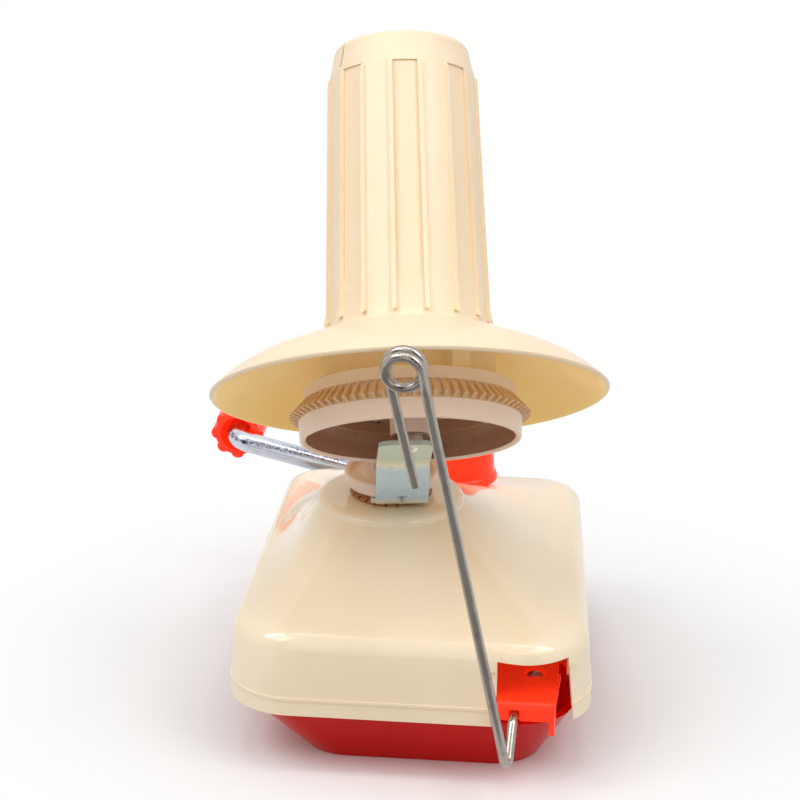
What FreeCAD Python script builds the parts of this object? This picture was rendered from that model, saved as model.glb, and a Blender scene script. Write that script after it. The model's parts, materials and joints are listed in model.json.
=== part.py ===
import FreeCAD, Part
import math
import os

os.makedirs("parts", exist_ok=True)

# Yarn ball winder. Millimetres, +Z up, +X to the right as seen from the yarn guide, +Y to the crank.
# The origin is on the flat underside, in the middle of the housing's length and width.

V = FreeCAD.Vector
X_AXIS = V(1, 0, 0)
Y_AXIS = V(0, 1, 0)
Z_AXIS = V(0, 0, 1)
ORIGIN = V(0, 0, 0)

# Fits
RUN = 0.05

# Housing
WALL = 2.2
COVER_BOTTOM = 22.0
COVER_SHOULDER = 46.5
COVER_FRONT = -74.5
COVER_REAR = 74.0
COVER_LEFT = -60.8
COVER_RIGHT = 60.5
COVER_RIGHT_REAR = 46.0
COVER_CORNERS = [22.5, 22.5, 12.0, 12.0]
COVER_DRAFT = 1.2
BEAD_Z = 27.8
BEAD_OUT = 1.15
HUB_TOP = 76.0
HUB_R = 25.2
HUB_FLARE = 0.36
HUB_EDGE = 3.0
SEAT_Z = 56.0
SEAT_BOSS_Z = 56.7

TRAY_FLOOR = 3.0
TRAY_FLOOR_CORNERS = [15.2, 15.8, 22.0, 24.0]
TRAY_RIM_CORNERS = [17.4, 17.9, 16.0, 16.0]
SCREEN_LEFT = 27.0
SCREEN_RIGHT = 50.4
SCREEN_Y = -43.5
SCREEN_TOP = 38.0
NOTCH_LEFT = 29.8
NOTCH_RIGHT = 54.0
NOTCH_TOP = 45.6
LIP_PROUD = 0.9
LIP_HEIGHT = 3.3
POST_FOOT = 20.0
SCREW_PLACES = [(-32, -44), (12, -50), (-32, 46), (26, 44)]

# Upright axis of the carrier
SPINDLE_X = -13.2
SPINDLE_Y = -9.0
POST_R = 2.4
POST_TIP_R = 2.0
SLEEVE_R = 3.6
SPINDLE_R = 5.0
SPINDLE_SHOULDER = 62.0
BUSH_RIM_R = 14.0
BUSH_SLOTS = 24
SPINDLE_BOTTOM = 9.0
FLANGE_Z = 77.6
SHEET = 1.6
HUB_CENTRE = V(SPINDLE_X, SPINDLE_Y, 0)

# Gears: teeth of the crown and its pinion, and of the fixed gear and the ring
CROWN_TEETH = 40
PINION_TEETH = 10
SUN_TEETH = 15
RING_TEETH = 72
PINION_R = 5.0
SUN_PITCH_R = 8.1
SUN_PHASE = -0.5
PINION_ROOT_R = 3.95
PINION_TIP_R = 5.9
PINION_LOW = 55.5
CROWN_INNER = 17.8
CROWN_OUTER = 22.0
CROWN_ADDENDUM = 0.9
CROWN_DEDENDUM = 1.2
CROWN_DISC = 3.0
RING_PHASE = 0.0
RING_ROOT_LOW = 36.6
RING_ROOT_HIGH = 33.2
RING_FIN = 1.15
RING_UNDER_S = 6.5
GEAR_SCREW_R = 20.0
SUN_TOP = 103.0
TURRET_R = 15.9
TURRET_FOOT_R = 15.3
TURRET_FOOT = 79.6
TURRET_LOW = 80.2
TURRET_STEP = 81.2
TURRET_TOP = 84.6

# Inclined axis of the spool, in the carrier's own frame before it is swung about the upright axis
SWING = 9.3
TILT = 33.7
PIN_OFFSET = 4.7
PIN_REACH = 44.3
PIN_Z = 112.1
PIN_R = 3.0
PIN_SEAT = -1.3
RIVET_R = 1.7
FACET_BELOW = 22.7
FACET_ABOVE = 7.0
BRACKET_FRONT = -16.5
BRACKET_WIDTH = 17.8
BRACKET_CORNER = 4.5
BRACKET_X = 3.0
BRACKET_HEEL = 8.0
BEND_R = 2.0
GEAR_HUB_LOW = 1.3
GEAR_HUB_R = 6.5
PIN_COLLAR_R = 4.0
CLIP_S = 119.0

# Spool and ring gear, heights along the inclined axis from the open mouth of the ring gear
CUP_R = 36.1
RING_TIP_R = 39.6
RING_TIP_S = 8.0
DISC_R = 34.7
DISC_S = 13.2
DISC_TOP = 17.4
FLANGE_R = 65.4
FLANGE_RIM_S = 16.0
FOOT_R = 26.4
FOOT_S = 38.0
SPOOL_TOP_R = 24.3
SPOOL_TOP_S = 122.4
CAP_TOP_S = 133.6
CAP_TOP_R = 21.9
RIB_COUNT = 16
RIB_PROUD = 0.9
RIB_WIDTH = 1.5
BOSS_R = 28.5
TOP_WEB_S = 118.6
SLIT_ANGLE = -150.0
SLIT_WIDTH = 0.9
PANEL_DEPTH = 0.7
PANEL_LOW = 46.0

# Crank
CRANK_Z = 38.0
ROD_R = 3.75
ARM_Y = 84.0
ARM_LENGTH = 72.3
ARM_RISE = 13.7
GRIP_START = 88.6
GRIP_LENGTH = 45.0
GRIP_R = 8.4
LOBE_COUNT = 8
LOBE_R = 2.5
GRIP_RECESS_R = 6.3
GRIP_RECESS = 12.0
GRIP_REAR_RECESS = 10.6
ROD_END = 128.0
AXLE_END = -2.0
AXLE_BEARING_Y = 14.0

# Yarn guide
PIVOT_X = 40.6
PIVOT_Y = -56.0
LEVER_TOP = 33.0
LEVER_FRONT = -79.6
LEVER_REAR = 9.0
LEVER_FACE_LOW = 26.6
WIRE_R = 1.6
EYE_R = 5.9
EYE = V(3.6, -114.0, 158.1)
WIRE_FOOT = V(35.1, -95.6, 15.5)
WIRE_EXIT_X = 35.8
WIRE_EXIT_Z = 28.4
WIRE_START_Y = -66.0
WIRE_TAIL = 45.0

# Table clamp
KNOB_X = 5.2
KNOB_Y = 52.6
KNOB_R = 12.4
KNOB_HEIGHT = 24.0
SCREW_R = 3.0
JAW_FRONT = 30.0
JAW_REAR = 59.0
JAW_WIDTH = 22.0
JAW_RECESS = 6.5
NUT_Z = 41.6
CLIP_Z = 47.8
SCREW_LOW = 4.0


def unit(v):
    """The same direction at length 1."""
    return v * (1.0 / v.Length)


def save(name, shape):
    """Write one sub-part and print what it holds."""
    if len(shape.Solids) == 1:
        shape = shape.Solids[0]
    print("%-18s solids %2d valid %s volume %.0f" % (name, len(shape.Solids), shape.isValid(), shape.Volume))
    shape.exportStep("parts/%s.step" % name)


def cylinder(radius, start, end):
    """A cylinder between two points."""
    return Part.makeCylinder(radius, (end - start).Length, start, end - start)


def upright(radius, x, y, low, high):
    """An upright cylinder between two heights."""
    return Part.makeCylinder(radius, high - low, V(x, y, low))


def block(x0, x1, y0, y1, z0, z1):
    """A box between its limits."""
    return Part.makeBox(x1 - x0, y1 - y0, z1 - z0, V(x0, y0, z0))


def ring(outer, inner, low, high):
    """A plain ring about the local upright axis."""
    return upright(outer, 0, 0, low, high).cut(upright(inner, 0, 0, low - 1, high + 1))


def turned(points):
    """Revolve a closed outline of (radius, height) points about the local upright axis.
    An item ("arc", radius, height) is the middle of an arc between its two neighbours."""
    edges = []
    here = None
    middle = None
    first = None
    for item in points + [points[0]]:
        if item[0] == "arc":
            middle = V(item[1], 0, item[2])
            continue
        there = V(item[0], 0, item[1])
        if here is not None:
            if middle is None:
                edges.append(Part.LineSegment(here, there).toShape())
            else:
                edges.append(Part.Arc(here, middle, there).toShape())
        middle = None
        here = there
        first = first or there
    face = Part.Face(Part.Wire(edges))
    return face.revolve(ORIGIN, Z_AXIS, 360)


def prism(points, low, high):
    """An upright prism on a closed outline of (x, y) points."""
    corners = [V(x, y, low) for x, y in points]
    face = Part.Face(Part.makePolygon(corners + [corners[0]]))
    return face.extrude(V(0, 0, high - low))


def around(shape, count, centre, axis):
    """Copies of a shape at even steps about an axis."""
    copies = []
    for i in range(count):
        copy = shape.copy()
        copy.rotate(centre, axis, i * 360.0 / count)
        copies.append(copy)
    return copies


def rounded_outline(corners, radii):
    """Sides and corner arcs of a rounded polygon, each as start, middle and end points."""
    legs = []
    for i, (corner, radius) in enumerate(zip(corners, radii)):
        back = unit(corners[i - 1] - corner)
        ahead = unit(corners[(i + 1) % len(corners)] - corner)
        half = back.getAngle(ahead) / 2
        reach = radius / math.tan(half)
        middle = corner + unit(back + ahead) * (radius / math.sin(half) - radius)
        legs.append((corner + back * reach, middle, corner + ahead * reach))
    spans = []
    for i, leg in enumerate(legs):
        start = legs[(i + 1) % len(legs)][0]
        spans.append(leg)
        spans.append((leg[2], (leg[2] + start) * 0.5, start))
    return spans


def outline_wire(spans, height):
    """A flat wire at a height through spans of three points, straight where they are in line."""
    edges = []
    for start, middle, end in spans:
        a, b, c = [V(p.x, p.y, height) for p in (start, middle, end)]
        if (c - a).cross(b - a).Length < 1e-6 * (c - a).Length:
            edges.append(Part.LineSegment(a, c).toShape())
        else:
            edges.append(Part.Arc(a, b, c).toShape())
    return Part.Wire(edges)


def drawn_in(spans, centre, radius, share):
    """Spans moved from an outline towards a circle: share 1 is the outline and 0 is the circle."""
    moved = []
    for span in spans:
        points = []
        for p in span:
            on_circle = centre + unit(V(p.x - centre.x, p.y - centre.y, 0)) * radius
            points.append(on_circle * (1 - share) + V(p.x, p.y, 0) * share)
        moved.append(tuple(points))
    return moved


def bent_path(points, radii):
    """A wire of straight runs through points, with a tangent arc of the given radius at each inner point."""
    edges = []
    here = points[0]
    for i in range(1, len(points) - 1):
        corner = points[i]
        back = unit(points[i - 1] - corner)
        ahead = unit(points[i + 1] - corner)
        half = back.getAngle(ahead) / 2
        reach = radii[i - 1] / math.tan(half)
        middle = corner + unit(back + ahead) * (radii[i - 1] / math.sin(half) - radii[i - 1])
        edges.append(Part.LineSegment(here, corner + back * reach).toShape())
        edges.append(Part.Arc(corner + back * reach, middle, corner + ahead * reach).toShape())
        here = corner + ahead * reach
    edges.append(Part.LineSegment(here, points[-1]).toShape())
    return edges


def arc_from(start, direction, end):
    """An arc that leaves start along a direction and ends at end."""
    chord = end - start
    along = direction * (chord.Length / 2)
    angle = direction.getAngle(chord)
    side = unit(direction * chord.Length - unit(chord) * (direction.dot(unit(chord)) * chord.Length))
    middle = start + chord * 0.5 + side * (along.Length * math.tan(angle / 2))
    return Part.Arc(start, middle, end).toShape()


def biarc(p0, t0, p1, t1):
    """Two arcs that join two points and are tangent to a direction at each."""
    chord = p1 - p0
    a = 2 * (1 - t0.dot(t1))
    b = 2 * chord.dot(t0 + t1)
    c = -chord.dot(chord)
    reach = (-b + math.sqrt(b * b - 4 * a * c)) / (2 * a)
    joint = (p0 + t0 * reach + p1 - t1 * reach) * 0.5
    tangent = unit((p1 - t1 * reach) - (p0 + t0 * reach))
    return [arc_from(p0, t0, joint), arc_from(joint, tangent, p1)]


def rod_along(edges, radius):
    """A round rod along a tangent path."""
    path = Part.Wire(edges)
    first = edges[0]
    start = first.valueAt(first.FirstParameter)
    direction = first.tangentAt(first.FirstParameter)
    section = Part.Wire([Part.makeCircle(radius, start, direction)])
    return path.makePipeShell([section], True, False)


def on_carrier(shape):
    """From the carrier's own frame to its place over the housing."""
    placed = shape.copy()
    placed.rotate(ORIGIN, Z_AXIS, SWING)
    placed.translate(V(SPINDLE_X, SPINDLE_Y, 0))
    return placed


def on_pin(shape):
    """From the spool's own upright frame to the inclined axis."""
    return on_carrier(to_pin(shape))


def at_spindle(shape):
    """From the upright axis to its place."""
    placed = shape.copy()
    placed.translate(V(SPINDLE_X, SPINDLE_Y, 0))
    return placed


# Housing


def cover_corners(inset):
    """The four corners of the cover in plan, drawn in by an inset."""
    return [
        V(COVER_LEFT + inset, COVER_FRONT + inset, 0),
        V(COVER_RIGHT - inset, COVER_FRONT + inset, 0),
        V(COVER_RIGHT_REAR - inset, COVER_REAR - inset, 0),
        V(COVER_LEFT + inset, COVER_REAR - inset, 0),
    ]


def cover_body(inset, bottom):
    """The cover's form as one solid: drafted walls, a soft shoulder and a roof that flares up to the hub."""
    corner = [radius - inset for radius in COVER_CORNERS]
    foot = rounded_outline(cover_corners(inset - COVER_DRAFT), corner)
    wall = rounded_outline(cover_corners(inset), corner)
    shoulder = rounded_outline(cover_corners(inset + 1.2), corner)
    eave = rounded_outline(cover_corners(inset + 4.2), corner)
    drop = inset
    wall_top = COVER_SHOULDER - 2 - drop * 0.4
    walls = Part.makeLoft([outline_wire(foot, bottom), outline_wire(wall, wall_top)], True, True)
    bend = Part.makeLoft([
        outline_wire(wall, wall_top),
        outline_wire(shoulder, COVER_SHOULDER + 1.4 - drop * 0.6),
        outline_wire(eave, COVER_SHOULDER + 4.2 - drop * 0.8),
    ], True, False)
    hub_r = HUB_R - inset
    low = COVER_SHOULDER + 4.2 - drop * 0.8
    top = HUB_TOP - drop
    high = top - HUB_EDGE
    sections = [outline_wire(eave, low)]
    for step, share in ((0.33, 0.60), (0.66, 0.27)):
        drawn = drawn_in(eave, HUB_CENTRE, hub_r, share * (1 - HUB_FLARE * 0.35))
        sections.append(outline_wire(drawn, low + (high - low) * step))
    sections.append(outline_wire(drawn_in(eave, HUB_CENTRE, hub_r, 0), high))
    roof = Part.makeLoft(sections, True, False)
    edge = HUB_EDGE * math.sqrt(0.5)
    crown = at_spindle(turned([
        (0, high), (hub_r, high), ("arc", hub_r - HUB_EDGE + edge, high + edge),
        (hub_r - HUB_EDGE, top), (0, top),
    ]))
    return walls.fuse([bend, roof, crown])


def seat_pocket(grow, floor):
    """The space above the knob's flat seat at the rear."""
    points = [(-16, 39.6), (8.5, 39.2), (33.5, 26), (37.5, 46), (37.5, 90), (-16, 90)]
    centre = V(8, 60, 0)
    moved = [(x + math.copysign(grow, x - centre.x), y - grow if y < 60 else y) for x, y in points]
    return prism(moved, floor, HUB_TOP + 10)


def notch_cutter(wider=0.0, higher=0.0):
    """The opening in the front wall for the guide lever, with a curved top edge."""
    low = COVER_BOTTOM - 2
    front = COVER_FRONT - 4
    a = V(NOTCH_LEFT - 0.4 - wider, front, low)
    b = V(NOTCH_LEFT - wider, front, NOTCH_TOP - 0.2 + higher)
    top = V((NOTCH_LEFT + NOTCH_RIGHT) / 2 - 4, front, NOTCH_TOP - 1.0 + higher)
    c = V(NOTCH_RIGHT - 1.5 + wider, front, NOTCH_TOP - 0.6 + higher)
    d = V(NOTCH_RIGHT + 0.6 + wider, front, low)
    edges = [
        Part.LineSegment(a, b).toShape(),
        Part.Arc(b, top, c).toShape(),
        Part.LineSegment(c, d).toShape(),
        Part.LineSegment(d, a).toShape(),
    ]
    return Part.Face(Part.Wire(edges)).extrude(V(0, 14, 0))


def notch_lip():
    """A low swelling of the wall along the notch's top edge."""
    band = notch_cutter(3.0, LIP_HEIGHT).cut(block(-90, 90, -90, 0, 0, NOTCH_TOP - 4))
    return band.common(cover_body(-LIP_PROUD, COVER_BOTTOM))


def top_cover():
    outer = cover_body(0, COVER_BOTTOM)
    outer = outer.cut(seat_pocket(0, SEAT_Z))
    bead_outline = rounded_outline(cover_corners(-BEAD_OUT), COVER_CORNERS)
    bead_ends = [outline_wire(bead_outline, BEAD_Z + side) for side in (-0.5, 0.5)]
    bead = Part.makeLoft(bead_ends, True, True)
    outer = outer.fuse([bead, notch_lip()])
    inner = cover_body(WALL, COVER_BOTTOM - 1)
    inner = inner.cut(seat_pocket(WALL, SEAT_Z - WALL))
    inner = inner.cut(upright(13.3, KNOB_X, KNOB_Y, SEAT_Z - 14, SEAT_BOSS_Z))
    shell = outer.cut(inner)
    collar = upright(11.0, SPINDLE_X, SPINDLE_Y, HUB_TOP - 9, HUB_TOP - 1)
    posts = [upright(4.5, x, y, POST_FOOT, HUB_TOP).common(outer) for x, y in SCREW_PLACES]
    sleeve = cylinder(8.5, V(SPINDLE_X, COVER_REAR - 10, CRANK_Z), V(SPINDLE_X, COVER_REAR - 1, CRANK_Z))
    shell = shell.fuse([collar, sleeve] + posts)
    shell = shell.cut(notch_cutter())
    holes = [
        upright(8.0, SPINDLE_X, SPINDLE_Y, HUB_TOP - 12, HUB_TOP + 2),
        cylinder(6.0, V(SPINDLE_X, COVER_REAR - 14, CRANK_Z), V(SPINDLE_X, COVER_REAR + 3, CRANK_Z)),
        cylinder(9.3, V(SPINDLE_X, COVER_REAR + 0.6, CRANK_Z), V(SPINDLE_X, COVER_REAR + 3, CRANK_Z)),
        upright(6.0, KNOB_X, KNOB_Y, SEAT_Z - 20, SEAT_Z + 10),
    ]
    holes += [upright(1.6, x, y, POST_FOOT - 1, POST_FOOT + 14) for x, y in SCREW_PLACES]
    return shell.cut(Part.makeCompound(holes)).removeSplitter()


def tray_corners(inset, front, rear, left, right, right_rear):
    """The four corners of the tray in plan."""
    return [
        V(left + inset, front + inset, 0),
        V(right - inset, front + inset, 0),
        V(right_rear - inset, rear - inset, 0),
        V(left + inset, rear - inset, 0),
    ]


def tray_body(inset, bottom, top):
    """The tray's form as one solid: a rounded floor and sides that lean out to the rim."""
    floor = tray_corners(inset, -59.1, 62, -38, 43.1, 34)
    rim = tray_corners(inset, -72.6, 70, -56.3, 55.3, 42)
    floor_radii = [radius - inset for radius in TRAY_FLOOR_CORNERS]
    rim_radii = [radius - inset for radius in TRAY_RIM_CORNERS]
    floor_wire = outline_wire(rounded_outline(floor, floor_radii), bottom)
    rim_wire = outline_wire(rounded_outline(rim, rim_radii), top)
    return Part.makeLoft([floor_wire, rim_wire], True, True)


def base_tray():
    rim = COVER_BOTTOM - 0.2
    outer = tray_body(0, 0, rim)
    shell = outer.cut(tray_body(WALL, TRAY_FLOOR, rim + 1))
    bosses = [upright(4.5, x, y, 1, POST_FOOT) for x, y in SCREW_PLACES]
    bosses.append(upright(8.0, SPINDLE_X, SPINDLE_Y, 1, SPINDLE_BOTTOM - 1))
    bosses.append(upright(7.0, PIVOT_X, PIVOT_Y, 1, 25.8))
    bosses.append(block(KNOB_X - 14.5, KNOB_X + 14.5, JAW_FRONT - 3, JAW_REAR + 2.9, 1, JAW_RECESS + WALL))
    bosses.append(block(SCREEN_LEFT, 60, SCREEN_Y, SCREEN_Y + 2, 1, rim))
    room = outer.fuse(upright(8, PIVOT_X, PIVOT_Y, rim - 0.5, 26))
    shell = shell.fuse([boss.common(room) for boss in bosses])
    shell = shell.fuse(block(SCREEN_LEFT, SCREEN_RIGHT, SCREEN_Y, SCREEN_Y + 2, rim - 4, SCREEN_TOP))
    cuts = [upright(1.9, x, y, -1, POST_FOOT + 1) for x, y in SCREW_PLACES]
    cuts += [upright(3.6, x, y, -1, 5) for x, y in SCREW_PLACES]
    cuts.append(upright(POST_R, SPINDLE_X, SPINDLE_Y, 2, SPINDLE_BOTTOM))
    cuts.append(upright(1.5, PIVOT_X, PIVOT_Y, 12, 27))
    half = JAW_WIDTH / 2
    cuts.append(block(KNOB_X - half - 1.2, KNOB_X + half + 1.2, JAW_FRONT - 1, JAW_REAR + 1, -1, JAW_RECESS))
    cuts.append(block(KNOB_X - half - 0.6, KNOB_X + half + 0.6, KNOB_Y - 8.6, JAW_REAR + 0.6, 2, 20))
    return shell.cut(Part.makeCompound(cuts)).removeSplitter()


def base_screws():
    """Pan-head screws up through the tray into the cover's posts."""
    screws = []
    for x, y in SCREW_PLACES:
        head = turned([(0, 2.2), (2.9, 2.2), ("arc", 2.7, 3.6), (1.2, 4.4), (0, 4.4)])
        head.rotate(ORIGIN, X_AXIS, 180)
        head.translate(V(x, y, 7.2))
        shank = upright(1.55, x, y, 4.6, POST_FOOT + 12)
        cross = block(-1.6, 1.6, -0.4, 0.4, 2, 3.6).fuse(block(-0.4, 0.4, -1.6, 1.6, 2, 3.6))
        cross.translate(V(x, y, 0))
        screws.append(head.fuse(shank).cut(cross))
    return Part.makeCompound(screws)


def center_post():
    """Post with a shoulder that the fixed gear stands on."""
    body = upright(POST_R, 0, 0, 2.1, TURRET_LOW)
    tip = upright(POST_TIP_R, 0, 0, TURRET_LOW - 1, SUN_TOP + 4.6)
    return at_spindle(body.fuse(tip).removeSplitter())


def thrust_washer():
    return at_spindle(ring(7.2, POST_R + 0.1, SPINDLE_BOTTOM - 1, SPINDLE_BOTTOM - 0.1))


def upper_bush():
    """Bush in the hub, with a slotted rim that is seen under the collar."""
    bore = SPINDLE_R + RUN
    body = turned([
        (bore, HUB_TOP - 9), (8.0, HUB_TOP - 9), (8.0, HUB_TOP), (BUSH_RIM_R, HUB_TOP),
        (BUSH_RIM_R, HUB_TOP + 1.3), (bore, HUB_TOP + 1.3),
    ])
    slot = block(BUSH_RIM_R - 1.6, BUSH_RIM_R + 1, -0.5, 0.5, HUB_TOP - 1, HUB_TOP + 2)
    return at_spindle(body.cut(Part.makeCompound(around(slot, BUSH_SLOTS, ORIGIN, Z_AXIS))))


def sun_gear():
    """The collar that stands over the hub, with the fixed gear column in its middle."""
    root = SUN_PITCH_R - 1.5
    low_hub = 8.9
    floor = TURRET_TOP - 1.6
    body = turned([
        (POST_TIP_R, TURRET_LOW), (7.0, TURRET_LOW), (7.0, TURRET_FOOT), (TURRET_FOOT_R - 0.4, TURRET_FOOT),
        (TURRET_FOOT_R, TURRET_FOOT + 0.4), (TURRET_FOOT_R, TURRET_STEP), (TURRET_R - 0.2, TURRET_STEP),
        (TURRET_R, TURRET_STEP + 0.2), (TURRET_R, TURRET_TOP - 0.4), (TURRET_R - 0.4, TURRET_TOP),
        (TURRET_R - 1.6, TURRET_TOP), (TURRET_R - 1.9, floor), (low_hub + 1.2, floor), (low_hub, floor + 1.2),
        (low_hub, 86.5), (root, 87.5), (root, SUN_TOP - 0.4), (root - 0.4, SUN_TOP), (POST_TIP_R, SUN_TOP),
    ])
    tooth = [(root - 0.8, -0.75), (SUN_PITCH_R + 0.8, -0.38), (SUN_PITCH_R + 0.8, 0.38), (root - 0.8, 0.75)]
    blank = prism(tooth, 86.9, SUN_TOP - 0.4)
    blank.rotate(ORIGIN, Z_AXIS, -90 + SUN_PHASE)
    teeth = around(blank, SUN_TEETH, ORIGIN, Z_AXIS)
    return on_carrier(body.fuse(teeth))


def hexagon(across, low, high, hole):
    """A hexagonal nut with a plain bore."""
    r = across / math.sqrt(3)
    corners = [(r * math.cos(math.radians(60 * i)), r * math.sin(math.radians(60 * i))) for i in range(6)]
    return prism(corners, low, high).cut(upright(hole, 0, 0, low - 1, high + 1))


def sun_nut():
    return at_spindle(hexagon(7.0, SUN_TOP + 0.02, SUN_TOP + 3.2, POST_TIP_R))


def crank_bush():
    """Flanged bush in the rear wall."""
    bore = ROD_R + RUN
    bush = turned([(bore, -12), (6.0, -12), (6.0, 0), (9.0, 0), (9.0, 1.0), (8.6, 1.4), (bore, 1.4)])
    bush.rotate(ORIGIN, X_AXIS, -90)
    bush.translate(V(SPINDLE_X, COVER_REAR + 0.6, CRANK_Z))
    return bush


def axle_bearing():
    """Upright on the tray floor that carries the crank between the crown gear and the rear wall."""
    low = TRAY_FLOOR + 3
    sides = [
        V(-12, AXLE_BEARING_Y, low), V(-7.8, AXLE_BEARING_Y, CRANK_Z),
        V(7.8, AXLE_BEARING_Y, CRANK_Z), V(12, AXLE_BEARING_Y, low),
    ]
    web = Part.Face(Part.makePolygon(sides + [sides[0]])).extrude(V(0, 6, 0))
    arch = cylinder(8.0, V(0, AXLE_BEARING_Y, CRANK_Z), V(0, AXLE_BEARING_Y + 6, CRANK_Z))
    foot = block(-13, 13, AXLE_BEARING_Y - 4, AXLE_BEARING_Y + 10, TRAY_FLOOR, low)
    bore = cylinder(ROD_R + RUN, V(0, AXLE_BEARING_Y - 1, CRANK_Z), V(0, AXLE_BEARING_Y + 7, CRANK_Z))
    bearing = arch.fuse([web, foot]).cut(bore).removeSplitter()
    bearing.translate(V(SPINDLE_X, 0, 0))
    return bearing


def guide_screw():
    """Cross-head screw in the lever's round recess."""
    head = turned([(0, 31.2), (3.1, 31.2), (3.1, 31.9), ("arc", 2.2, 32.7), (0, 33.0)])
    shoulder = upright(2.4, 0, 0, 27.2, 31.4)
    shank = upright(1.45, 0, 0, 13, 27.4)
    cross = block(-1.7, 1.7, -0.35, 0.35, 31.9, 34).fuse(block(-0.35, 0.35, -1.7, 1.7, 31.9, 34))
    screw = head.fuse([shoulder, shank]).cut(cross)
    screw.translate(V(PIVOT_X, PIVOT_Y, 0))
    return screw


def guide_ring():
    """Brass ring under the lever, with a curved leaf standing at its outer side."""
    foot = ring(6.6, 1.55, 25.8, 27.0)
    arm = block(-2.5, 2.5, 0, 11.4, 25.8, 27.0).cut(upright(1.55, 0, 0, 25, 28))
    stem = ring(12.0, 10.7, 25.8, 41.0).common(prism([(0, 0), (5.4, 20), (-5.4, 20)], 25, 42))
    leaf = ring(12.0, 10.7, 33.4, 41.0).common(prism([(0, 0), (20, -1.7), (20, 20), (0, 20)], 33, 42))
    whole = foot.fuse([arm, stem, leaf])
    whole.translate(V(PIVOT_X, PIVOT_Y, 0))
    return whole


def clamp_bush():
    """Flanged bush for the clamp screw in the cover's rear seat."""
    bore = SCREW_R + RUN
    bush = turned([
        (bore, SEAT_Z - 8), (6.0, SEAT_Z - 8), (6.0, SEAT_Z),
        (9.5, SEAT_Z), (9.5, SEAT_BOSS_Z), (bore, SEAT_BOSS_Z),
    ])
    bush.translate(V(KNOB_X, KNOB_Y, 0))
    return bush


# Carrier

def spindle():
    """Hollow sleeve that turns on the post, with a shoulder over its gear and a riveting end on top."""
    bore = POST_R + RUN
    rivet = FLANGE_Z + SHEET + 0.5
    return at_spindle(turned([
        (bore, SPINDLE_BOTTOM), (6.5, SPINDLE_BOTTOM), (6.5, SPINDLE_BOTTOM + 2),
        (SLEEVE_R, SPINDLE_BOTTOM + 2),
        (SLEEVE_R, SPINDLE_SHOULDER), (SPINDLE_R, SPINDLE_SHOULDER), (SPINDLE_R, FLANGE_Z), (4.2, FLANGE_Z),
        (4.2, rivet), (bore, rivet),
    ]))


def spindle_pinion():
    """Small gear on the spindle, turned by the crown gear."""
    root = PINION_ROOT_R - 0.3
    body = ring(PINION_ROOT_R, SLEEVE_R, PINION_LOW, SPINDLE_SHOULDER)
    tooth = [
        (root, -0.85), (PINION_R, -0.55), (PINION_TIP_R, -0.3),
        (PINION_TIP_R, 0.3), (PINION_R, 0.55), (root, 0.85),
    ]
    blank = prism(tooth, PINION_LOW, SPINDLE_SHOULDER)
    blank = blank.cut(upright(SLEEVE_R, 0, 0, PINION_LOW - 1, SPINDLE_SHOULDER + 1))
    blank.rotate(ORIGIN, Z_AXIS, 90)
    return at_spindle(body.fuse(around(blank, PINION_TEETH, ORIGIN, Z_AXIS)))


def strip_outline(points, thickness):
    """A closed outline of a strip whose first face runs through points, with its second face on the left."""
    others = []
    for i, point in enumerate(points):
        normals = []
        for a, b in ((i - 1, i), (i, i + 1)):
            if a >= 0 and b < len(points):
                run = unit(points[b] - points[a])
                normals.append(V(0, -run.z, run.y))
        mean = unit(normals[0] + normals[-1])
        others.append(point + mean * (thickness / mean.dot(normals[0])))
    return points + others[::-1]


def edges_on_corners(shape, corners):
    """The edges along X that pass through any of the given points."""
    found = []
    for edge in shape.Edges:
        box = edge.BoundBox
        if box.YLength > 0.01 or box.ZLength > 0.01:
            continue
        for corner in corners:
            if abs(box.YMin - corner.y) < 0.05 and abs(box.ZMin - corner.z) < 0.05:
                found.append(edge)
    return found


def end_edges(shape, low, high):
    """The short edges across the sheet that lie between two limits along Y."""
    found = []
    for edge in shape.Edges:
        box = edge.BoundBox
        if abs(edge.Length - SHEET) < 0.01 and box.XLength < 0.01 and box.YMin > low and box.YMax < high:
            found.append(edge)
    return found


def to_pin(shape):
    """From the pin's own upright frame to the carrier's frame."""
    placed = shape.copy()
    placed.rotate(ORIGIN, X_AXIS, -TILT)
    placed.translate(V(PIN_OFFSET, -PIN_REACH, PIN_Z))
    return placed


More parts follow.
